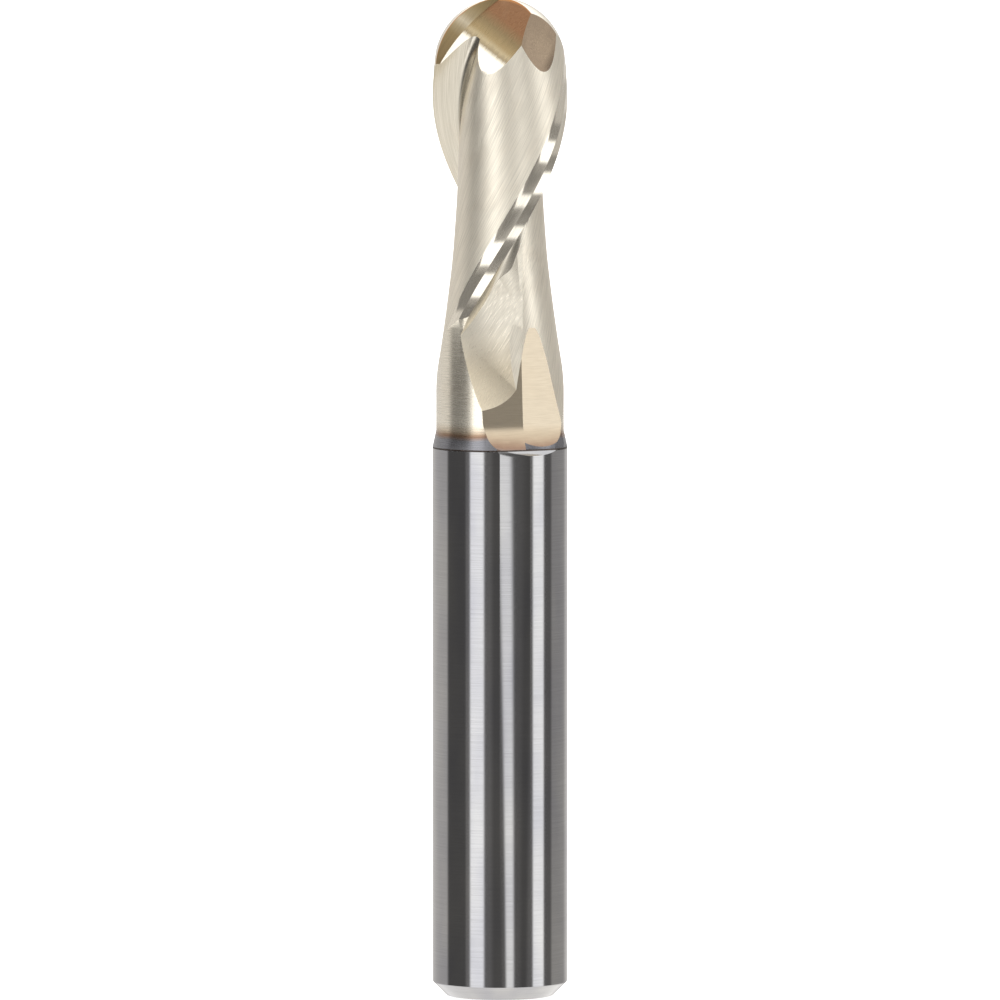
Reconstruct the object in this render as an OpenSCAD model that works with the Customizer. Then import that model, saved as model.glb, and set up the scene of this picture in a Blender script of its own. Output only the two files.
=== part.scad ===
/* [Cutting end] */
// Cutting diameter, and so the diameter of the ball
cut_d = 10; // [9.8:0.1:10]
// Length from the tip to the lower end of the lands
cut_len = 23.3; // [22.5:0.1:23.8]
// Length along the axis of one full turn of a cutting edge
lead = 49.5; // [48:0.5:51]
// Diameter of the core that the flutes leave
core_d = 6.1; // [5.9:0.1:6.3]
// Angle that the primary relief land takes up
primary = 9; // [8:0.5:10]
// Angle that the secondary relief land takes up
secondary = 12; // [10:0.5:13]
// Hook angle of the rake face at the cutting edge
rake = 8; // [5:1:10]

/* [Neck] */
// Diameter of the relieved neck
neck_d = 9.46; // [9.4:0.02:9.52]
// Length from the tip to the shoulder
reach = 33.3; // [33:0.1:33.6]

/* [Shank] */
// Diameter of the shank
shank_d = 10; // [10:0.5:10]
// Length of the whole tool
overall = 74; // [70:1:90]
// Width of the 45 degree chamfer on the back end
chamfer = 1; // [0.5:0.1:1.2]

/* [Brazed joint] */
// Diameter of the head's spigot
spigot_d = 6; // [5:0.25:6]
// Length of the spigot
spigot_len = 8; // [6:0.5:10]
// Thickness of the braze, under the shoulder and round the spigot
braze = 0.1; // [0.06:0.01:0.15]
// Space left below the spigot in its socket
gas_gap = 0.5; // [0.3:0.1:1]

/* [Hidden] */

// The origin is the centre of the back face, and +Z runs to the tip.
// Azimuths are in degrees, 0 at -Y and 90 at +X. A depth is measured down from the tip.
ball_r = cut_d / 2;
shoulder_z = overall - reach;
head_z = shoulder_z + braze;
spigot_z = head_z - spigot_len;
round_sides = 128;

// One edge crosses azimuth 90 at this depth, and the other is half a turn away.
edge_depth = 7.2;
function edge_az(depth) = 90 - 360 * (depth - edge_depth) / lead;

// Section of the flute, in polar angles measured from the cutting edge in the way the tool turns
edge_r = ball_r - 0.01;
primary_r = 0.985 * ball_r;
heel_r = 0.945 * ball_r;
heel_angle = 180 - primary - secondary;
root_angle = 20;
back_power = 1.95;
clear_r = ball_r + 2;
rake_steps = 8;
back_steps = 12;

// Near the tip the root of the flute is ground deeper.
deep_root = 1.2;
deep_len = 14;
deep_angle = 40;
function deepening(depth) = deep_root * pow(max(0, 1 - max(depth, 0) / deep_len), 2);

// It gets deeper again over the last turn, below the lifted floor.
low_root = 0.38;
low_from = 17;
low_to = 22;
lowered_share = 0.75;
function smooth(t) = let (s = min(max(t, 0), 1)) s * s * (3 - 2 * s);
function lowering(depth) = low_root * smooth((depth - low_from) / (low_to - low_from));

function polar(r, angle) = r * [cos(angle), sin(angle)];

function back_share(angle) = (angle - root_angle) / (heel_angle - root_angle);
function root_share(angle) = max(0, 1 - (angle - root_angle) / deep_angle);
function back_r(depth, angle) = core_d / 2
    + (heel_r - core_d / 2) * pow(back_share(angle), back_power)
    - deepening(depth) * pow(root_share(angle), 2)
    - lowering(depth) * (1 - smooth(back_share(angle) / lowered_share));

function bezier(p, t) = pow(1 - t, 3) * p[0]
    + 3 * t * pow(1 - t, 2) * p[1]
    + 3 * t * t * (1 - t) * p[2]
    + pow(t, 3) * p[3];

function rake_face(root_r) = [
    [edge_r, 0],
    [edge_r, 0] - polar(2.25, rake),
    polar(root_r, root_angle) - polar(0.75, root_angle + 90),
    polar(root_r, root_angle)
];

// Rake face, back, secondary land, primary land, and then round outside the tool
function root_r(depth) = core_d / 2 - deepening(depth) - lowering(depth);
function flute_section(depth) = let (face = rake_face(root_r(depth))) concat(
    [for (i = [0:rake_steps]) bezier(face, i / rake_steps)],
    [
        for (i = [1:back_steps])
            let (angle = root_angle + (heel_angle - root_angle) * i / back_steps)
                polar(back_r(depth, angle), angle)
    ],
    [polar(primary_r, 180 - primary), polar(edge_r, 180)],
    [for (i = [0:6]) polar(clear_r, 182 - 184 * i / 6)]
);

function turned(p, t) = [p[0] * cos(t) - p[1] * sin(t), p[0] * sin(t) + p[1] * cos(t)];

// The flute's section carried along its helix between two depths
module helical_cut(from, to, steps) {
    count = len(flute_section(from));
    points = [
        for (k = [0:steps])
            let (depth = from + (to - from) * k / steps)
                for (p = flute_section(depth))
                    concat(turned(p, edge_az(depth) - 90), overall - depth)
    ];
    sides = [
        for (k = [0:steps - 1], i = [0:count - 1])
            let (j = (i + 1) % count)
                [k * count + i, (k + 1) * count + i, (k + 1) * count + j, k * count + j]
    ];
    top = [for (i = [0:count - 1]) i];
    bottom = [for (i = [count - 1:-1:0]) steps * count + i];
    polyhedron(points, concat([top], sides, [bottom]), convexity = 10);
}

// All that lies beyond a plane, whose outward normal has an azimuth and an elevation.
// The plane is a given distance out from a point on the axis at height z.
module beyond(azimuth, elevation, out, z) {
    size = 60;
    translate([0, 0, z])
        rotate([0, -elevation, azimuth - 90])
            translate([out, -size / 2, -size / 2])
                cube(size);
}

// A large drum just inside such a plane, which touches it. Its axis leans over by an angle.
module drum(azimuth, elevation, out, z, lean, r) {
    translate([0, 0, z])
        rotate([0, -elevation, azimuth - 90])
            translate([out - r, 0, 0])
                rotate([lean, 0, 0])
                    cylinder(r = r, h = 60, center = true, $fn = 360);
}

module slab(from_z, to_z) {
    translate([0, 0, from_z])
        cylinder(r = 20, h = to_z - from_z);
}

// Low down, the grinding wheel lifts out: its floor is flat at first, and then follows the wheel's rim
floor_az = 8.1;
floor_out = 2.78;
floor_turn = 22.5;
floor_lean = 46.1;
wheel_r = 16.6;
module lifted_floor() {
    translate([0, 0, overall - floor_turn])
        rotate([0, 0, floor_az - 90])
            translate([floor_out, 0, 0])
                rotate([floor_lean, 0, 0]) {
                    translate([wheel_r, 0, 0])
                        cylinder(r = wheel_r, h = 60, center = true, $fn = 360);
                    translate([0, 0, -30])
                        cube([2 * wheel_r, 30, 60]);
                }
}

floor_depth = 18;
land_depth = cut_len - 0.05;
land_inner_r = 4.4;
module flute() {
    intersection() {
        helical_cut(-1, reach, 68);
        union() {
            slab(overall - floor_depth, overall + 2);
            difference() {
                slab(overall - land_depth, overall - floor_depth + 1);
                cylinder(r = land_inner_r, h = 2 * overall, $fn = round_sides);
            }
            lifted_floor();
            beyond(100, 0, 1.2, overall - floor_turn);
        }
    }
}

// The notch at the tip: one wall is the rake face of the ball's edge, and the other is slightly rounded
module gash() {
    difference() {
        intersection() {
            beyond(25, -11.3, 0.27, overall);
            slab(overall - 10.5, overall + 5);
        }
        drum(-13.7, 40.2, 0.142, overall, 66.6, 14);
    }
}

// The flat that relieves the ball behind its edge
module heel_flat() {
    intersection() {
        beyond(38, 15.7, 2.358, overall);
        slab(overall - 11, overall + 3);
    }
}

// The ball's own relief behind each edge: a sphere whose centre is shifted away
relief_az = 205;
relief_shift = 0.35;
module ball_relief() {
    translate([0, 0, overall - ball_r])
        rotate(relief_az - 90)
            difference() {
                translate([-20, -20, 0])
                    cube([21, 40, 20]);
                translate([relief_shift, 0, 0])
                    sphere(norm([ball_r, relief_shift]), $fn = 96);
            }
}

// The bowed flat below each flute, which curves out to the shoulder: a large wheel with a rounded corner
exit_az = 29.25;
exit_out = 3.45;
exit_bow = 60;
exit_run = 3;
exit_rise = 6.7;
exit_lean = 0.05;
exit_z = shoulder_z + 2.3;
module exit_flat() {
    rotate(exit_az - 90)
        translate([exit_out - exit_bow, 0, exit_z])
            rotate_extrude($fn = 360) {
                polygon([
                    [exit_bow, 0],
                    [exit_bow + 9, 0],
                    [exit_bow + 9, exit_rise],
                    [exit_bow - exit_lean * exit_rise, exit_rise]
                ]);
                translate([exit_bow + exit_run, -exit_run])
                    square([9 - exit_run, exit_run + 1]);
                intersection() {
                    translate([exit_bow + exit_run, 0])
                        circle(exit_run, $fn = 96);
                    translate([exit_bow, -exit_run])
                        square([exit_run + 1, exit_run + 0.5]);
                }
            }
}

// The small nick where the wheel leaves through the shoulder
module shoulder_nick() {
    intersection() {
        beyond(13.8, 11.4, 4.72, shoulder_z);
        slab(shoulder_z - 3, shoulder_z + 0.4);
    }
}

module exits() {
    for (turn = [0, 180])
        rotate(turn) {
            exit_flat();
            shoulder_nick();
        }
}

module head_blank() {
    translate([0, 0, overall - ball_r])
        sphere(ball_r, $fn = 96);
    translate([0, 0, overall - cut_len])
        cylinder(r = ball_r, h = cut_len - ball_r, $fn = round_sides);
    translate([0, 0, overall - cut_len - 1])
        cylinder(d1 = neck_d, r2 = ball_r, h = 1, $fn = round_sides);
    translate([0, 0, head_z])
        cylinder(d = neck_d, h = reach - braze - cut_len, $fn = round_sides);
    translate([0, 0, head_z])
        cylinder(d1 = shank_d, d2 = neck_d, h = 1.2, $fn = round_sides);
    translate([0, 0, spigot_z])
        cylinder(d = spigot_d, h = spigot_len + 1, $fn = round_sides);
}

module cutting_head() {
    color([0.85, 0.80, 0.66])
        difference() {
            head_blank();
            for (turn = [0, 180])
                rotate(turn) {
                    flute();
                    gash();
                    heel_flat();
                    ball_relief();
                }
            exits();
        }
}

module braze_joint() {
    color([0.20, 0.18, 0.17])
        difference() {
            union() {
                translate([0, 0, shoulder_z])
                    cylinder(d = shank_d, h = braze, $fn = round_sides);
                translate([0, 0, spigot_z])
                    cylinder(d = spigot_d + 2 * braze, h = spigot_len, $fn = round_sides);
            }
            translate([0, 0, spigot_z - 1])
                cylinder(d = spigot_d, h = spigot_len + 2, $fn = round_sides);
            exits();
        }
}

module shank() {
    color([0.45, 0.45, 0.47])
        difference() {
            union() {
                cylinder(d1 = shank_d - 2 * chamfer, d2 = shank_d, h = chamfer, $fn = round_sides);
                translate([0, 0, chamfer])
                    cylinder(d = shank_d, h = shoulder_z - chamfer, $fn = round_sides);
            }
            translate([0, 0, spigot_z - gas_gap])
                cylinder(d = spigot_d + 2 * braze, h = spigot_len + gas_gap, $fn = round_sides);
            exits();
        }
}

shank();
braze_joint();
cutting_head();
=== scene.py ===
import math

import bmesh
import bpy
import numpy as np
from mathutils import Matrix, Vector


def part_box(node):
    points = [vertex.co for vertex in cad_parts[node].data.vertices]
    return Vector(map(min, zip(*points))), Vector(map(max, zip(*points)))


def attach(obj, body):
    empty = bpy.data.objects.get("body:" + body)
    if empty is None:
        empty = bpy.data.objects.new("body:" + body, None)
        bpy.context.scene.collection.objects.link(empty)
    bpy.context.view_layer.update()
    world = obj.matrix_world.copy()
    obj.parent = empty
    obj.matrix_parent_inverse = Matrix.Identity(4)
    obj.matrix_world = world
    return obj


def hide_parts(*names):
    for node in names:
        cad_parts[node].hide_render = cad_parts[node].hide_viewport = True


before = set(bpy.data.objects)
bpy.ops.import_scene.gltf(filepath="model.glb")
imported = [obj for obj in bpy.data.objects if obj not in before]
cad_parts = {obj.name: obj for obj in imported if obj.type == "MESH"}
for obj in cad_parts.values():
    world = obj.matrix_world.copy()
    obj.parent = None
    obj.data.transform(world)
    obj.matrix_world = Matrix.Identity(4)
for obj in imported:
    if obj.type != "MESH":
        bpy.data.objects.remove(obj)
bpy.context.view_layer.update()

MM = 0.001

# Heights and diameters come from the CAD nodes. Azimuths are in degrees, 0 at -Y and 90 at +X.
tip_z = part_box("cutting_head")[1][2] / MM
spigot_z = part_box("cutting_head")[0][2] / MM
shoulder_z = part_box("shank")[1][2] / MM
shank_r = -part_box("shank")[0][0] / MM - 0.0005
head_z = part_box("braze_joint")[1][2] / MM

# Sizes in millimetres and degrees. A depth is measured down from the tip.
ball_r = 5.0
cut_len = 23.3
lead = 49.5
core_r = 3.05
neck_r = 4.73
cone_height = 1.2
spigot_r = 3.0
braze = 0.1
gas_gap = 0.5
chamfer = 1.0

# One edge crosses azimuth 90 at this depth. The section's angles are measured from the edge.
edge_depth = 7.2
primary = 9.0
secondary = 12.0
rake = 8.0
edge_r = ball_r - 0.01
primary_r = 0.985 * ball_r
heel_r = 0.945 * ball_r
heel_angle = 180 - primary - secondary
root_angle = 20.0
back_power = 1.95
clear_r = ball_r + 2

# The root of the flute is ground deeper near the tip, and again where its floor lifts.
deep_root = 1.2
deep_len = 14.0
deep_angle = 40.0
low_root = 0.38
low_from = 17.0
low_to = 22.0
lowered_share = 0.75

# The lifted floor at the lower end of a flute, and the lands that are kept clear of it
floor_az = 8.1
floor_out = 2.78
floor_turn = 22.5
floor_lean = 46.1
wheel_r = 16.6
side_az = 100.0
side_out = 1.2
floor_depth = 18.0
land_depth = cut_len - 0.05
land_inner_r = 4.4

# The bowed flat below a flute
exit_az = 29.25
exit_out = 3.45
exit_bow = 60.0
exit_crease = 3.3
exit_run = 3.0
exit_rise = 6.7
exit_lean = 0.05
exit_z = shoulder_z + 2.3

# Half the size of a block that reaches past the tool on every side
FAR = 30

# Material slots of the head, one for each way that it is ground
NECK, BACK, RAKE, SECOND, FIRST, GASH_RAKE, GASH_WALL, HEEL_FLAT, RELIEF, EXIT, SLOPE = range(11)


def polar(r, angle):
    """A point from its radius and polar angle."""
    a = np.radians(angle)
    return np.array([r * np.cos(a), r * np.sin(a)])


def edge_az(depth):
    """Azimuth of the first cutting edge."""
    return 90 - 360 * (depth - edge_depth) / lead


def deepening(depth):
    """How much deeper the root is ground near the tip."""
    return deep_root * max(0.0, 1 - max(depth, 0) / deep_len) ** 2


def ease(t):
    t = min(max(t, 0.0), 1.0)
    return t * t * (3 - 2 * t)


def lowering(depth):
    """How much deeper the root is ground where the floor lifts."""
    return low_root * ease((depth - low_from) / (low_to - low_from))


def back_r(depth, angle):
    """Radius of the flute's back at an angle ahead of its edge."""
    share = (angle - root_angle) / (heel_angle - root_angle)
    near_root = max(0.0, 1 - (angle - root_angle) / deep_angle)
    r = core_r + (heel_r - core_r) * share ** back_power
    return r - deepening(depth) * near_root ** 2 - lowering(depth) * (1 - ease(share / lowered_share))


def bezier(points, t):
    a, b, c, d = points
    return (1 - t) ** 3 * a + 3 * t * (1 - t) ** 2 * b + 3 * t * t * (1 - t) * c + t ** 3 * d


def flute_section(depth):
    """Points of the flute's section and the slot of each side, from the edge round to the next edge."""
    face_steps, back_steps, land_steps = 30, 60, 4
    edge_pull, root_pull = 2.25, 0.75
    root = polar(core_r - deepening(depth) - lowering(depth), root_angle)
    edge = np.array([edge_r, 0.0])
    face = [edge, edge - polar(edge_pull, rake), root - polar(root_pull, root_angle + 90), root]
    points = [bezier(face, i / face_steps) for i in range(face_steps + 1)]
    slots = [RAKE] * face_steps
    for angle in np.linspace(root_angle, heel_angle, back_steps + 1)[1:]:
        points.append(polar(back_r(depth, angle), angle))
        slots.append(BACK)
    for end, slot in ((polar(primary_r, 180 - primary), SECOND), (polar(edge_r, 180), FIRST)):
        for left in range(land_steps, 0, -1):
            points.append(points[-1] + (end - points[-1]) / left)
            slots.append(slot)
    for i in range(7):
        points.append(polar(clear_r, 182 - 184 * i / 6))
        slots.append(FIRST)
    return np.array(points), slots + [RAKE]


def solid(name, verts, faces, slots):
    """A closed mesh object, from millimetres, with a material slot for each face."""
    mesh = bpy.data.meshes.new(name)
    mesh.from_pydata([Vector(v) * MM for v in verts], [], faces)
    for polygon, slot in zip(mesh.polygons, slots):
        polygon.material_index = slot
    obj = bpy.data.objects.new(name, mesh)
    bpy.context.scene.collection.objects.link(obj)
    bm = bmesh.new()
    bm.from_mesh(mesh)
    bmesh.ops.recalc_face_normals(bm, faces=bm.faces)
    bm.to_mesh(mesh)
    bm.free()
    return obj


def lathe(name, profile, slots, sides=512):
    """A profile of (radius, height) points that starts and ends on the axis, turned about Z."""
    inner = profile[1:-1]
    angles = np.linspace(0, 2 * np.pi, sides, endpoint=False)
    verts = [(r * np.cos(a), r * np.sin(a), z) for r, z in inner for a in angles]
    low, high = len(verts), len(verts) + 1
    verts += [(0, 0, profile[0][1]), (0, 0, profile[-1][1])]
    faces, used = [], []
    for i in range(len(inner) - 1):
        for k in range(sides):
            n = (k + 1) % sides
            faces.append((i * sides + k, i * sides + n, (i + 1) * sides + n, (i + 1) * sides + k))
            used.append(slots[i + 1])
    last = (len(inner) - 1) * sides
    for k in range(sides):
        n = (k + 1) % sides
        faces += [(low, n, k), (high, last + k, last + n)]
        used += [slots[0], slots[-1]]
    return solid(name, verts, faces, used)


def helical_cut(name, start, end, turn):
    """The flute's section carried along its helix between two depths."""
    step = 0.12
    steps = int((end - start) / step)
    verts, faces, used = [], [], []
    for k in range(steps + 1):
        depth = start + (end - start) * k / steps
        points, slots = flute_section(depth)
        t = math.radians(edge_az(depth) - 90 + turn)
        spun = points @ np.array([[math.cos(t), math.sin(t)], [-math.sin(t), math.cos(t)]])
        verts += [(x, y, tip_z - depth) for x, y in spun]
    count = len(slots)
    for k in range(steps):
        for i in range(count):
            j = (i + 1) % count
            faces.append((k * count + i, (k + 1) * count + i, (k + 1) * count + j, k * count + j))
            used.append(slots[i])
    faces += [tuple(range(count)), tuple(steps * count + i for i in reversed(range(count)))]
    return solid(name, verts, faces, used + [BACK, BACK])


def block(name, low, high, slot, frame_of=Matrix()):
    """A box in its own frame, as a cutter."""
    corners = [
        (x, y, z) for x in (low[0], high[0]) for y in (low[1], high[1]) for z in (low[2], high[2])
    ]
    verts = [tuple(frame_of @ Vector(c)) for c in corners]
    faces = [(0, 1, 3, 2), (4, 6, 7, 5), (0, 4, 5, 1), (2, 3, 7, 6), (0, 2, 6, 4), (1, 5, 7, 3)]
    return solid(name, verts, faces, [slot] * 6)


def plane_frame(azimuth, elevation, z):
    """A frame on the axis at height z, with its X axis along the plane's outward normal."""
    turn = Matrix.Rotation(math.radians(azimuth - 90), 4, "Z")
    lean = Matrix.Rotation(math.radians(-elevation), 4, "Y")
    return Matrix.Translation((0, 0, z)) @ turn @ lean


def beyond(name, azimuth, elevation, out, z, slot):
    """All that lies beyond a plane, at a distance out from the axis at height z."""
    place = plane_frame(azimuth, elevation, z)
    return block(name, (out, -FAR, -FAR), (out + 2 * FAR, FAR, FAR), slot, place)


def slab(name, low, high, slot, half=20):
    """A square plate between two heights, wider than the tool."""
    return block(name, (-half, -half, low), (half, half, high), slot)


def boolean(obj, other, how):
    """Applies one solid to another. The second one is used up, and its faces keep their slots."""
    step = obj.modifiers.new("cut", "BOOLEAN")
    step.operation = how
    step.solver = "MANIFOLD"
    step.object = other
    evaluated = obj.evaluated_get(bpy.context.evaluated_depsgraph_get())
    mesh = bpy.data.meshes.new_from_object(evaluated)
    obj.modifiers.remove(step)
    old = obj.data
    obj.data = mesh
    bpy.data.meshes.remove(old)
    bpy.data.objects.remove(other)
    return obj


def prism(name, outline, low, high, slot, frame_of):
    """A closed outline carried along its frame's Z axis."""
    count = len(outline)
    verts = [tuple(frame_of @ Vector((x, y, z))) for z in (low, high) for x, y in outline]
    faces = [(i, (i + 1) % count, count + (i + 1) % count, count + i) for i in range(count)]
    faces += [tuple(reversed(range(count))), tuple(range(count, 2 * count))]
    return solid(name, verts, faces, [slot] * len(faces))


def arc(x, y, r, start, end, steps):
    """Points of an arc about (x, y)."""
    angles = np.radians(np.linspace(start, end, steps + 1))
    return [(x + r * math.cos(a), y + r * math.sin(a)) for a in angles]


def rod(name, r, length, slot, frame_of, sides=720):
    """A cylinder along its frame's Z axis, centred on its origin."""
    return prism(name, arc(0, 0, r, 0, 360, sides)[:-1], -length / 2, length / 2, slot, frame_of)


def sector(name, outline, half_angle, steps, slot, frame_of):
    """A closed outline of (radius, height) swung about its frame's Z axis, to both sides of X."""
    count = len(outline)
    verts, faces = [], []
    for a in np.radians(np.linspace(-half_angle, half_angle, steps + 1)):
        verts += [tuple(frame_of @ Vector((r * math.cos(a), r * math.sin(a), z))) for r, z in outline]
    for k in range(steps):
        for i in range(count):
            j = (i + 1) % count
            faces.append((k * count + i, k * count + j, (k + 1) * count + j, (k + 1) * count + i))
    faces += [tuple(range(count)), tuple(steps * count + i for i in reversed(range(count)))]
    return solid(name, verts, faces, [slot] * len(faces))


def exit_flat(turn):
    """The bowed flat below a flute, which curves out to the shoulder. A slight crease runs up it."""
    spin = Matrix.Rotation(math.radians(exit_az - 90 + turn), 4, "Z")
    place = Matrix.Translation((0, 0, exit_z)) @ spin @ Matrix.Translation((exit_out - exit_bow, 0, 0))
    outer = exit_bow + 9
    outline = [(exit_bow - exit_lean * exit_rise, exit_rise)]
    outline += arc(exit_bow + exit_run, 0, exit_run, 180, 270, 120)
    outline += [(outer, -exit_run), (outer, exit_rise)]
    return sector("flat", outline, 2 * exit_crease, 4, EXIT, place)


def shoulder_nick(turn):
    """The small nick where the wheel leaves through the shoulder."""
    azimuth, elevation, out = 13.8, 11.4, 4.72
    nick = beyond("nick", azimuth + turn, elevation, out, shoulder_z, EXIT)
    return boolean(nick, slab("keep", shoulder_z - 3, shoulder_z + 0.4, EXIT), "INTERSECT")


def grind_exits(obj):
    """Both exits go through all three pieces, as they are ground after brazing."""
    for turn in (0, 180):
        for cutter in (exit_flat(turn), shoulder_nick(turn)):
            boolean(obj, cutter, "DIFFERENCE")


def ball_relief(turn):
    """What a sphere of shifted centre leaves to cut, on the half of the ball behind an edge."""
    relief_az, shift, steps = 205, 0.35, 240
    r = math.hypot(ball_r, shift)
    spin = Matrix.Rotation(math.radians(relief_az - 90 + turn), 4, "Z")
    place = Matrix.Translation((0, 0, tip_z - ball_r)) @ spin
    half = block("half", (-20, -20, 0), (1, 20, 20), RELIEF, place)
    rim = [(r * math.sin(a), -r * math.cos(a)) for a in np.linspace(0, math.pi, steps + 1)]
    ball = lathe("ball", rim, [RELIEF] * steps, 720)
    moved = Matrix.Scale(MM, 4) @ place @ Matrix.Translation((shift, 0, 0)) @ Matrix.Scale(1 / MM, 4)
    ball.data.transform(moved)
    return boolean(half, ball, "DIFFERENCE")


def lifted_floor(turn):
    """What the wheel clears where it lifts out: flat at first, and then round like the wheel's rim."""
    place = plane_frame(floor_az + turn, 0, tip_z - floor_turn) @ Matrix.Translation((floor_out, 0, 0))
    place = place @ Matrix.Rotation(math.radians(floor_lean), 4, "X")
    outline = arc(wheel_r, 0, wheel_r, 180, 360, 720) + [(2 * wheel_r, FAR), (0, FAR)]
    return prism("floor_cut", outline, -FAR, FAR, SLOPE, place)


def flute(turn):
    """The helical cut. Low down it is kept to one side of the floor on which it runs out."""
    cut = helical_cut("flute", -1, tip_z - shoulder_z, turn)
    reach = lifted_floor(turn)
    boolean(reach, beyond("side", side_az + turn, 0, side_out, tip_z - floor_turn, BACK), "UNION")
    boolean(reach, slab("high", tip_z - floor_depth, tip_z + 2, BACK, 40), "UNION")
    lands = slab("lands", tip_z - land_depth, tip_z - floor_depth + 1, RAKE, FAR)
    boolean(lands, rod("inner", land_inner_r, 200, RAKE, Matrix()), "DIFFERENCE")
    boolean(reach, lands, "UNION")
    return boolean(cut, reach, "INTERSECT")


def gash(turn):
    """The notch at the tip: the rake face of the ball's edge, and a slightly rounded wall."""
    face_az, face_elevation, face_out = 25, -11.3, 0.27
    wall_az, wall_elevation, wall_out = -13.7, 40.2, 0.142
    wall_r, wall_lean = 14, 66.6
    notch = beyond("gash", face_az + turn, face_elevation, face_out, tip_z, GASH_RAKE)
    boolean(notch, slab("top", tip_z - 10.5, tip_z + 5, GASH_WALL), "INTERSECT")
    place = plane_frame(wall_az + turn, wall_elevation, tip_z)
    place = place @ Matrix.Translation((wall_out - wall_r, 0, 0))
    place = place @ Matrix.Rotation(math.radians(wall_lean), 4, "X")
    return boolean(notch, rod("wall", wall_r, 60, GASH_WALL, place, 1440), "DIFFERENCE")


def heel_flat(turn):
    """The flat that relieves the ball behind its edge."""
    azimuth, elevation, out = 38, 15.7, 2.358
    cut = beyond("heel", azimuth + turn, elevation, out, tip_z, HEEL_FLAT)
    return boolean(cut, slab("top", tip_z - 11, tip_z + 3, HEEL_FLAT), "INTERSECT")


def make_head():
    """The head, with the spigot that its braze holds."""
    profile = [(0, spigot_z), (spigot_r, spigot_z), (spigot_r, head_z)]
    profile += [(shank_r, head_z), (neck_r, head_z + cone_height)]
    profile += [(neck_r, tip_z - cut_len - 1), (ball_r, tip_z - cut_len)]
    profile += arc(0, tip_z - ball_r, ball_r, 0, 90, 120)
    profile[-1] = (0, tip_z)
    body = lathe("head", profile, [NECK] * (len(profile) - 1))
    for turn in (0, 180):
        for cutter in (flute(turn), gash(turn), heel_flat(turn), ball_relief(turn)):
            boolean(body, cutter, "DIFFERENCE")
    grind_exits(body)
    return body


def make_braze():
    """The ring of filler at the shoulder, with its thin sleeve round the spigot."""
    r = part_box("braze_joint")[1][0] / MM
    socket_r = spigot_r + braze
    foot = spigot_z + 0.01
    profile = [(0, foot), (socket_r, foot), (socket_r, shoulder_z)]
    profile += [(r, shoulder_z), (r, head_z), (0, head_z)]
    ring = lathe("braze", profile, [0] * 5)
    spigot = rod("spigot", spigot_r, 30, 0, Matrix.Translation((0, 0, shoulder_z)))
    boolean(ring, spigot, "DIFFERENCE")
    grind_exits(ring)
    return ring


def make_shank():
    """The shank, with its socket. Small bevels break its edges."""
    lip, bevel = 0.04, 0.03
    socket_r = spigot_r + braze
    profile = [(0, 0), (shank_r - chamfer - lip, 0), (shank_r - chamfer, lip)]
    profile += [(shank_r - lip / 2, chamfer - lip / 2), (shank_r, chamfer + lip)]
    profile += [(shank_r, shoulder_z - bevel), (shank_r - bevel, shoulder_z), (socket_r, shoulder_z)]
    profile += [(socket_r, spigot_z - gas_gap), (0, spigot_z - gas_gap)]
    body = lathe("shank", profile, [0] * 9, 720)
    grind_exits(body)
    return body


def smooth(obj, angle=18):
    """Smooth shading, with sharp edges where faces meet at more than an angle."""
    obj.data.shade_smooth()
    obj.data.set_sharp_from_angle(angle=math.radians(angle))


# Materials

def new_material(name):
    """A metal, with its node tree and its shader."""
    material = bpy.data.materials.new(name)
    material.use_nodes = True
    tree = material.node_tree
    shader = tree.nodes["Principled BSDF"]
    shader.inputs["Metallic"].default_value = 1.0
    return material, tree, shader


def add(tree, kind, **settings):
    """A new node with its settings."""
    node = tree.nodes.new(kind)
    for key, value in settings.items():
        setattr(node, key, value)
    return node


def maths(tree, operation, first, second=0.0):
    """One step of arithmetic on numbers or sockets."""
    node = add(tree, "ShaderNodeMath", operation=operation)
    for socket, value in zip(node.inputs, (first, second)):
        if isinstance(value, (int, float)):
            socket.default_value = value
        else:
            tree.links.new(value, socket)
    return node.outputs[0]


def split_xyz(tree, place):
    split = add(tree, "ShaderNodeSeparateXYZ")
    tree.links.new(place, split.inputs[0])
    return split.outputs


def position(tree):
    """Position in millimetres, in the row frame."""
    coordinates = add(tree, "ShaderNodeTexCoord")
    scale = add(tree, "ShaderNodeVectorMath", operation="SCALE")
    scale.inputs["Scale"].default_value = 1 / MM
    tree.links.new(coordinates.outputs["Object"], scale.inputs[0])
    return scale.outputs[0]


def folded(tree, place):
    """Turns the back half of the tool onto the front half, as its two sides are alike."""
    x, y, z = split_xyz(tree, place)
    side = maths(tree, "MULTIPLY", maths(tree, "SIGN", y), -1.0)
    join = add(tree, "ShaderNodeCombineXYZ")
    tree.links.new(maths(tree, "MULTIPLY", x, side), join.inputs["X"])
    tree.links.new(maths(tree, "MULTIPLY", y, side), join.inputs["Y"])
    tree.links.new(z, join.inputs["Z"])
    return join.outputs[0]


def height(tree, place):
    return split_xyz(tree, place)["Z"]


def along_helix(tree, place, pitch):
    """Untwists the helix, so that marks along it run along Z."""
    spin = add(tree, "ShaderNodeVectorRotate", rotation_type="Z_AXIS")
    tree.links.new(place, spin.inputs["Vector"])
    angle = maths(tree, "MULTIPLY", height(tree, place), -2 * math.pi / pitch)
    tree.links.new(angle, spin.inputs["Angle"])
    return spin.outputs[0]


def along_line(tree, place, direction):
    """Turns a direction of the row frame onto Z."""
    turn = Vector(direction).normalized().rotation_difference(Vector((0, 0, 1))).to_euler()
    mapping = add(tree, "ShaderNodeMapping", vector_type="POINT")
    mapping.inputs["Rotation"].default_value = turn
    tree.links.new(place, mapping.inputs["Vector"])
    return mapping.outputs[0]


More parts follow.
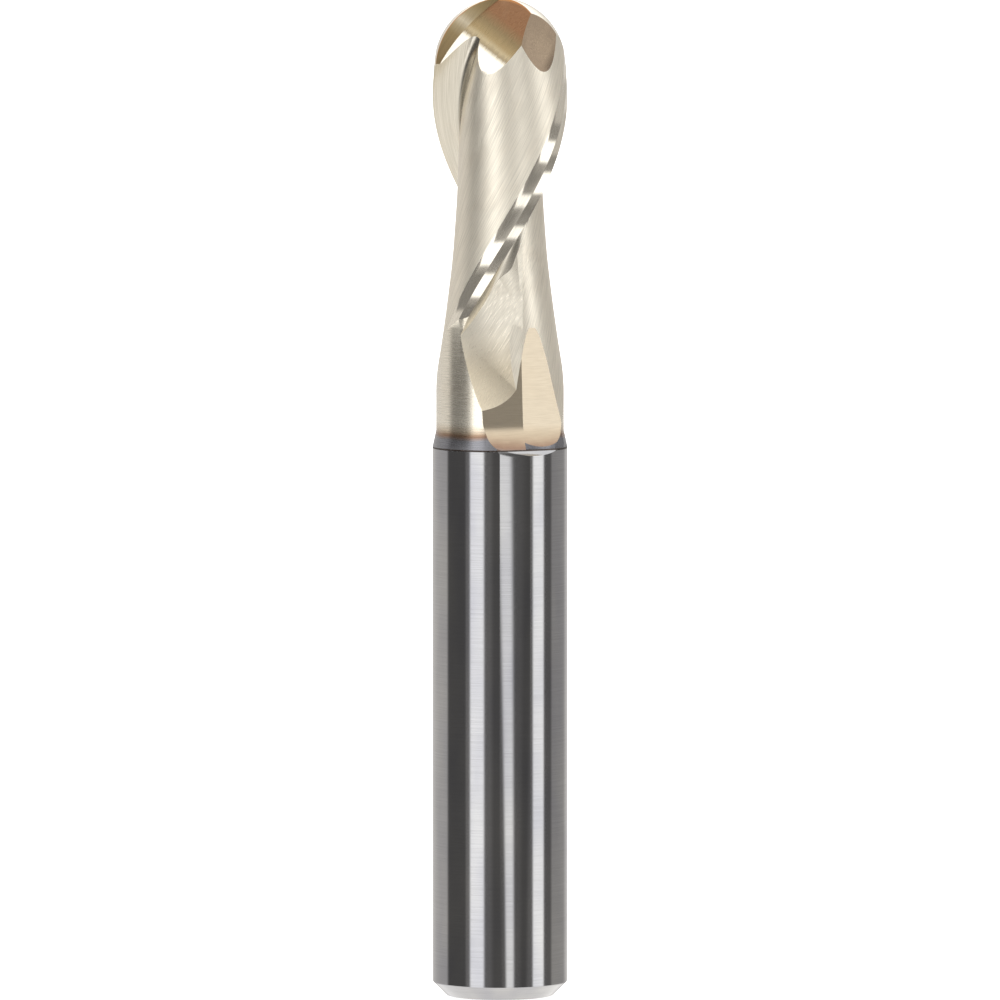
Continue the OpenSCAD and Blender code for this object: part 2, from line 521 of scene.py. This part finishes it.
def stretched(tree, place, scale, detail=3.0):
    """Noise with its own scale along each axis."""
    mapping = add(tree, "ShaderNodeMapping", vector_type="POINT")
    mapping.inputs["Scale"].default_value = scale
    tree.links.new(place, mapping.inputs["Vector"])
    noise = add(tree, "ShaderNodeTexNoise")
    noise.inputs["Scale"].default_value = 1.0
    noise.inputs["Detail"].default_value = detail
    tree.links.new(mapping.outputs[0], noise.inputs["Vector"])
    return noise.outputs["Fac"]


def remap(tree, value, low, high, to_low, to_high):
    """Carries one range of values onto another, and holds it there."""
    node = add(tree, "ShaderNodeMapRange")
    node.inputs["From Min"].default_value = low
    node.inputs["From Max"].default_value = high
    node.inputs["To Min"].default_value = to_low
    node.inputs["To Max"].default_value = to_high
    tree.links.new(value, node.inputs["Value"])
    return node.outputs[0]


def ramp(tree, value, stops):
    """A colour that changes with a value."""
    node = add(tree, "ShaderNodeValToRGB")
    elements = node.color_ramp.elements
    while len(elements) > 1:
        elements.remove(elements[-1])
    elements[0].position, elements[0].color = stops[0][0], (*stops[0][1], 1)
    for place, color in stops[1:]:
        elements.new(place).color = (*color, 1)
    tree.links.new(value, node.inputs["Fac"])
    return node.outputs["Color"]


def multiply(tree, color, factor):
    """A colour times a grey value."""
    node = add(tree, "ShaderNodeVectorMath", operation="SCALE")
    tree.links.new(color, node.inputs[0])
    tree.links.new(factor, node.inputs["Scale"])
    return node.outputs[0]


def bump(tree, shader, value, depth):
    """Surface relief of a depth in millimetres."""
    node = add(tree, "ShaderNodeBump")
    node.inputs["Strength"].default_value = 1.0
    node.inputs["Distance"].default_value = depth * MM
    tree.links.new(value, node.inputs["Height"])
    tree.links.new(node.outputs[0], shader.inputs["Normal"])


# Colours of the coating, of its tints, of painted shade and reflection bands, and of the metal below it
GOLD = (0.92, 0.86, 0.735)
DEEP_GOLD = (0.31, 0.23, 0.12)
DUSK = (0.30, 0.24, 0.15)
SAND = (0.42, 0.34, 0.21)
OLIVE = (0.22, 0.16, 0.085)
BROWN = (0.22, 0.115, 0.06)
TAN_FLAT = (0.295, 0.225, 0.16)
ORANGE = (0.62, 0.28, 0.10)
TINT = (0.30, 0.19, 0.13)
STRAW = (0.56, 0.44, 0.30)
STEEL = (0.26, 0.26, 0.28)
PALE = (0.62, 0.54, 0.40)
FLAT = (0.57, 0.49, 0.37)
LAND = (0.93, 0.87, 0.75)
FLOOR = (0.68, 0.60, 0.46)


def below_ball(tree, place):
    """Distance in millimetres below the round outside of the ball and the lands."""
    x, y, z = split_xyz(tree, place)
    up = maths(tree, "MAXIMUM", maths(tree, "SUBTRACT", z, tip_z - ball_r), 0.0)
    total = maths(tree, "ADD", maths(tree, "MULTIPLY", x, x), maths(tree, "MULTIPLY", y, y))
    total = maths(tree, "ADD", total, maths(tree, "MULTIPLY", up, up))
    return maths(tree, "SUBTRACT", ball_r, maths(tree, "SQRT", total))


def blend(tree, factor, first, second):
    """Two colours mixed by a factor."""
    node = add(tree, "ShaderNodeMix", data_type="RGBA")
    tree.links.new(factor, node.inputs["Factor"])
    for socket, value in (("A", first), ("B", second)):
        if isinstance(value, tuple):
            node.inputs[socket].default_value = (*value, 1)
        else:
            tree.links.new(value, node.inputs[socket])
    return node.outputs["Result"]


# Direction, in X and Z, along which the painted shade and reflection bands of the notch change
BAND_X = 0.61
BAND_Z = 0.79


def wall_painted_shade(tree, place, lines):
    """Painted shade on the notch's wall, from brown at the tip to pale gold, in bands across its marks.
    """
    x, y, z = split_xyz(tree, place)
    down = maths(tree, "MULTIPLY", maths(tree, "SUBTRACT", z, tip_z), BAND_Z)
    level = maths(tree, "ADD", down, maths(tree, "MULTIPLY", x, BAND_X))
    ragged = maths(tree, "MULTIPLY", maths(tree, "SUBTRACT", lines, 0.5), 0.5)
    level = maths(tree, "ADD", level, ragged)
    pale = tuple(1.06 * c for c in GOLD)
    bands = [(0.04, pale), (0.11, DUSK), (0.18, SAND), (0.25, DEEP_GOLD)]
    bands += [(0.40, OLIVE), (0.58, BROWN), (1.0, BROWN)]
    return ramp(tree, remap(tree, level, -4.0, 1.0, 0.0, 1.0), bands)


def face_painted_reflection(tree, place, lines):
    """Painted reflection on the ball's rake face, in soft dark and pale bands from the tip outwards."""
    x, y, z = split_xyz(tree, place)
    down = maths(tree, "MULTIPLY", maths(tree, "SUBTRACT", tip_z, z), BAND_Z)
    away = maths(tree, "ADD", down, maths(tree, "MULTIPLY", x, -BAND_X))
    bands = [(0.0, OLIVE), (0.18, DEEP_GOLD), (0.30, SAND), (0.37, PALE), (0.44, SAND)]
    bands += [(0.52, DEEP_GOLD), (0.8, OLIVE), (1.0, DUSK)]
    return ramp(tree, remap(tree, away, 0.0, 8.0, 0.0, 1.0), bands)


def floor_painted_reflection(tree, place, lines):
    """Painted reflection on the lifted floor: a darker tan that gets paler upwards."""
    level = remap(tree, height(tree, place), shoulder_z + 3, shoulder_z + 9.5, 0.0, 1.0)
    return ramp(tree, level, [(0.0, FLOOR), (0.45, tuple(1.08 * c for c in FLOOR)), (1.0, GOLD)])


def coated(name, direction=None, pitch=None, rough=0.2, marks=0.0012, fine=(16, 16, 0.35), color=GOLD,
           painted_light=None, wear_and_highlight=0.0, fade_z=0.3, metal=1.0, streaks=0.12):
    """Ground carbide under a pale gold coating, which fades to a dark tint just above the shoulder."""
    material, tree, shader = new_material(name)
    shader.inputs["Metallic"].default_value = metal
    place = position(tree)
    if pitch:
        lined = along_helix(tree, place, pitch)
    else:
        lined = along_line(tree, folded(tree, place), direction or (0, 0, 1))
    lines = stretched(tree, lined, fine)
    patches = stretched(tree, place, (0.5, 0.5, 0.5), 2.0)
    # An optional function paints shade and reflection bands into the base colour.
    if painted_light:
        base = painted_light(tree, folded(tree, place), lines)
    else:
        base = ramp(tree, patches, [(0.3, color), (0.7, tuple(0.94 * c for c in color))])
    # Orange towards the edges of the ball and lands: partly coating wear, partly a painted edge
    # highlight.
    if wear_and_highlight:
        edge = maths(tree, "ADD", below_ball(tree, place), remap(tree, lines, 0.0, 1.0, -0.05, 0.05))
        base = blend(tree, remap(tree, edge, 0.0, wear_and_highlight, 1.0, 0.0), base, ORANGE)
    fade = remap(tree, height(tree, place), head_z + fade_z, head_z + 1.9, 0.0, 1.0)
    wavy = maths(tree, "ADD", fade, remap(tree, patches, 0.0, 1.0, -0.12, 0.12))
    tempered = ramp(tree, wavy, [(0.0, STEEL), (0.22, STEEL), (0.42, TINT), (0.75, STRAW)])
    base = blend(tree, remap(tree, wavy, 0.5, 1.0, 0.0, 1.0), tempered, base)
    streaky = remap(tree, lines, 0.3, 0.7, 1 - streaks, 1 + streaks / 2)
    shade = maths(tree, "ADD", streaky, remap(tree, patches, 0.3, 0.7, -0.03, 0.03))
    tree.links.new(multiply(tree, base, shade), shader.inputs["Base Color"])
    tree.links.new(remap(tree, lines, 0.3, 0.7, rough * 1.2, rough * 0.8), shader.inputs["Roughness"])
    bump(tree, shader, lines, marks)
    return material


def dark_steel():
    """The shank: cylindrically ground and polished, with very fine marks round it."""
    material, tree, shader = new_material("shank_polish")
    place = position(tree)
    lines = stretched(tree, place, (0.25, 0.25, 22))
    stain = stretched(tree, place, (0.35, 0.35, 0.12), 2.0)
    tone = ramp(tree, stain, [(0.3, (0.35, 0.35, 0.37)), (0.7, (0.44, 0.436, 0.43))])
    shade = remap(tree, lines, 0.3, 0.7, 0.93, 1.05)
    tree.links.new(multiply(tree, tone, shade), shader.inputs["Base Color"])
    tree.links.new(remap(tree, lines, 0.3, 0.7, 0.13, 0.07), shader.inputs["Roughness"])
    bump(tree, shader, lines, 0.0004)
    return material


def dull_braze():
    """The filler: dull and slightly grainy."""
    material, tree, shader = new_material("braze_dull")
    place = position(tree)
    grain = stretched(tree, place, (6, 6, 6))
    tone = ramp(tree, grain, [(0.3, (0.05, 0.04, 0.035)), (0.7, (0.12, 0.10, 0.09))])
    tree.links.new(tone, shader.inputs["Base Color"])
    tree.links.new(remap(tree, grain, 0.3, 0.7, 0.35, 0.55), shader.inputs["Roughness"])
    bump(tree, shader, grain, 0.004)
    return material


def head_materials():
    """A material for each way that the head is ground. Directions are those of the grinding marks."""
    floor_line = (0.53, 0.2, 0.85)
    root_line = (0.6, 0.1, 0.79)
    heel_line = (0.2, -0.1, 1)
    relief_line = (0.5, 0.5, 0.7)
    exit_line = (0.875, 0.485, 0)
    round_neck = (0.5, 0.5, 18)
    # A darker gold: painted shade for the flute face in the flute's recess.
    shaded_gold = tuple(0.6 * c for c in GOLD)
    land = dict(pitch=lead, marks=0.0003, color=LAND, metal=0.8)
    flat = dict(fine=(26, 26, 0.4), color=FLAT, fade_z=-1.1, metal=0.7)
    return {
        NECK: coated("neck_ground", rough=0.26, marks=0.0005, fine=round_neck, metal=0.88),
        BACK: coated("flute_back", pitch=lead, rough=0.42, marks=0.008, fine=(20, 20, 0.35), streaks=0.2),
        RAKE: coated("flute_face", pitch=lead, rough=0.22, marks=0.001, color=shaded_gold),
        SECOND: coated("land_secondary", rough=0.12, **land),
        FIRST: coated("land_primary", rough=0.11, **land),
        # The ball's rake face gets painted reflection bands.
        GASH_RAKE: coated("gash_face", root_line, rough=0.16, marks=0.0008, painted_light=face_painted_reflection, wear_and_highlight=0.1),
        # The notch's wall gets painted shade bands.
        GASH_WALL: coated("gash_wall", root_line, rough=0.26, marks=0.001, painted_light=wall_painted_shade, wear_and_highlight=0.25),
        HEEL_FLAT: coated("heel_flat", heel_line, rough=0.3, marks=0.0004, color=TAN_FLAT, wear_and_highlight=0.12),
        RELIEF: coated("ball_relief", relief_line, rough=0.22, marks=0.0006),
        EXIT: coated("exit_flat", exit_line, rough=0.09, marks=0.0005, **flat),
        # The lifted floor gets a painted reflection, darker low down.
        SLOPE: coated("flute_slope", floor_line, rough=0.32, marks=0.0012, painted_light=floor_painted_reflection),
    }


# Light, floor and camera

def make_world():
    """A soft studio: pale all round, with upright light and dark panels that the metal reflects."""
    world = bpy.data.worlds.new("studio")
    bpy.context.scene.world = world
    world.use_nodes = True
    tree = world.node_tree
    background = tree.nodes["Background"]
    view = add(tree, "ShaderNodeTexCoord")
    x, y, z = split_xyz(tree, view.outputs["Generated"])
    angle = maths(tree, "ARCTAN2", x, maths(tree, "MULTIPLY", y, -1.0))
    around = maths(tree, "ADD", maths(tree, "DIVIDE", angle, 2 * math.pi), 0.5)
    # Each panel runs between two azimuths, at a level
    strips = [(-180, -104, 0.75), (-99, -62, 0.14), (-60, -54, 0.30), (-51, -29, 1.9), (-26, -18, 0.26)]
    strips += [(-10, 2, 0.15), (6, 9, 0.22), (12, 22, 1.5), (25, 32, 0.2), (38, 44, 0.14), (50, 57, 0.25)]
    strips += [(59.5, 79, 1.8), (82, 97, 0.2), (101, 140, 0.5), (150, 180, 0.75)]
    stops = []
    for start, end, level in strips:
        for azimuth in (start, end):
            warm = 0.97 if level < 1 else 1.0
            stops.append(((azimuth + 180) / 360, (level, level * warm, level * warm * warm)))
    panels = ramp(tree, around, stops)
    rise = remap(tree, z, -1, 1, 0, 1)
    dome = ramp(tree, rise, [(0.0, (1.4, 1.37, 1.32)), (1.0, (1.5, 1.5, 1.5))])
    black, white = (0, 0, 0), (1, 1, 1)
    share = ramp(tree, rise, [(0.27, black), (0.38, white), (0.62, white), (0.75, black)])
    mix = add(tree, "ShaderNodeMix", data_type="RGBA")
    tree.links.new(share, mix.inputs["Factor"])
    tree.links.new(dome, mix.inputs["A"])
    tree.links.new(panels, mix.inputs["B"])
    tree.links.new(mix.outputs["Result"], background.inputs["Color"])


def stage_surface(name, verts, faces, level):
    """A pale matt surface that lights itself, and that the tool does not reflect."""
    mesh = bpy.data.meshes.new(name)
    mesh.from_pydata(verts, [], faces)
    obj = bpy.data.objects.new(name, mesh)
    bpy.context.scene.collection.objects.link(obj)
    material, tree, shader = new_material(name)
    shader.inputs["Metallic"].default_value = 0.0
    shader.inputs["Base Color"].default_value = (0.9, 0.9, 0.9, 1)
    shader.inputs["Roughness"].default_value = 0.9
    shader.inputs["Emission Color"].default_value = (1, 1, 1, 1)
    shader.inputs["Emission Strength"].default_value = level
    mesh.materials.append(material)
    obj.visible_glossy = False
    obj.visible_diffuse = False


def make_stage():
    """A floor, and a round wall behind it."""
    side, r, count = 3.0, 2.9, 48
    square = [(-side, -side, 0), (side, -side, 0), (side, side, 0), (-side, side, 0)]
    stage_surface("floor", square, [(0, 1, 2, 3)], 0.7)
    wall = [(x, y, z) for x, y in arc(0, 0, r, 0, 360, count)[:-1] for z in (-1, 4)]
    last = 2 * count
    around = [(k, (k + 2) % last, (k + 3) % last, k + 1) for k in range(0, last, 2)]
    stage_surface("backdrop", wall, around, 1.0)


def make_camera():
    """A long lens from slightly above level, with the tool's length filling the frame."""
    elevation = math.radians(4.2)
    centre = Vector((0, 0, 36.8 * MM))
    lens, sensor = 400, 36
    view_width = 74.06 * MM
    distance = view_width * lens / sensor
    camera = bpy.data.cameras.new("camera")
    camera.lens = lens
    camera.sensor_width = sensor
    camera.clip_end = 20
    obj = bpy.data.objects.new("camera", camera)
    bpy.context.scene.collection.objects.link(obj)
    away = Vector((0, -math.cos(elevation), math.sin(elevation)))
    obj.location = centre + away * distance
    obj.rotation_euler = away.to_track_quat("Z", "Y").to_euler()
    bpy.context.scene.camera = obj


def place_piece(obj, name, node, materials):
    """Names a piece, gives it its materials, and puts it in the place of its CAD node."""
    obj.name = name
    obj.data.name = name
    obj.data.materials.clear()
    for material in materials:
        obj.data.materials.append(material)
    smooth(obj)
    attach(obj, "root")
    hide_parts(node)


def keep_slots(obj):
    """The slot of each face, kept while the material list is refilled."""
    return [polygon.material_index for polygon in obj.data.polygons]


bpy.context.scene.view_settings.view_transform = "Standard"
make_camera()
make_world()
make_stage()

head = make_head()
slots = keep_slots(head)
by_slot = head_materials()
place_piece(head, "cutting_head_ground", "cutting_head", [by_slot[i] for i in sorted(by_slot)])
head.data.polygons.foreach_set("material_index", slots)
head.data.polygons.foreach_set("use_smooth", [slot != EXIT for slot in slots])
place_piece(make_braze(), "braze_ring", "braze_joint", [dull_braze()])
place_piece(make_shank(), "shank_ground", "shank", [dark_steel()])
